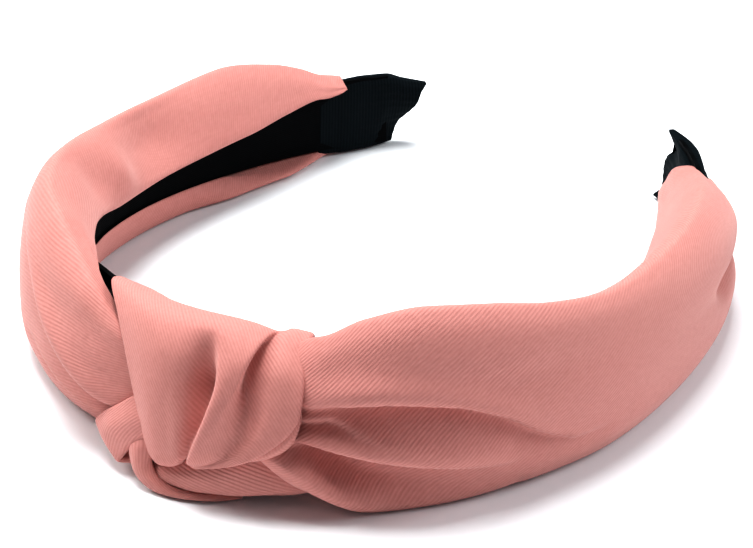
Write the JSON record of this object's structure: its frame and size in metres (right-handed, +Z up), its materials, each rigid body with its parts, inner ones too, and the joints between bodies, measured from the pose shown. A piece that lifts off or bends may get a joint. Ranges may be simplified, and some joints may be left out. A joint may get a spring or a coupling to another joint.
{
  "type": "knotted headband",
  "caption": "Springy open hoop headband, lined in black ribbon and covered by a pink twill fabric tube tied in a soft knot at the crown.",
  "frame": {"origin": "centre of the footprint on the surface the headband lies on", "axes": "X across the head, the knot at -Y, the open ends at +Y, Z up"},
  "size_m": [0.1514, 0.1706, 0.041],
  "materials": {
    "strip": "moulded, satin black",
    "black_ribbon": "black satin ribbon",
    "pink_twill": "coral pink twill weave with a soft sheen"
  },
  "bodies": {
    "knot": {"hoop_crown": "strip", "lining_crown": "black_ribbon", "knot_core": "pink_twill", "knot_front_wrap": "pink_twill", "knot_side_wrap": "pink_twill", "knot_back_wrap": "pink_twill", "knot_lower_loop": "pink_twill", "knot_bottom_strand": "pink_twill"},
    "left_arm": {"hoop_left_arm": "strip", "lining_left": "black_ribbon", "end_sleeve_left": "black_ribbon", "cover_left": "pink_twill"},
    "right_arm": {"hoop_right_arm": "strip", "lining_right": "black_ribbon", "end_sleeve_right": "black_ribbon", "cover_right": "pink_twill"}
  },
  "joints": [
    {"name": "left_arm_flex", "type": "hinge", "parent": "knot", "child": "left_arm", "pos_m": [-0.01876, -0.06852, 0.0215], "axis": [0, 0, 1], "range_deg": [-6, 13], "stiffness_Nm_per_rad": 1.1},
    {"name": "right_arm_flex", "type": "hinge", "parent": "knot", "child": "right_arm", "pos_m": [0.00408, -0.07026, 0.0225], "axis": [0, 0, -1], "range_deg": [-6, 13], "stiffness_Nm_per_rad": 1.1}
  ]
}
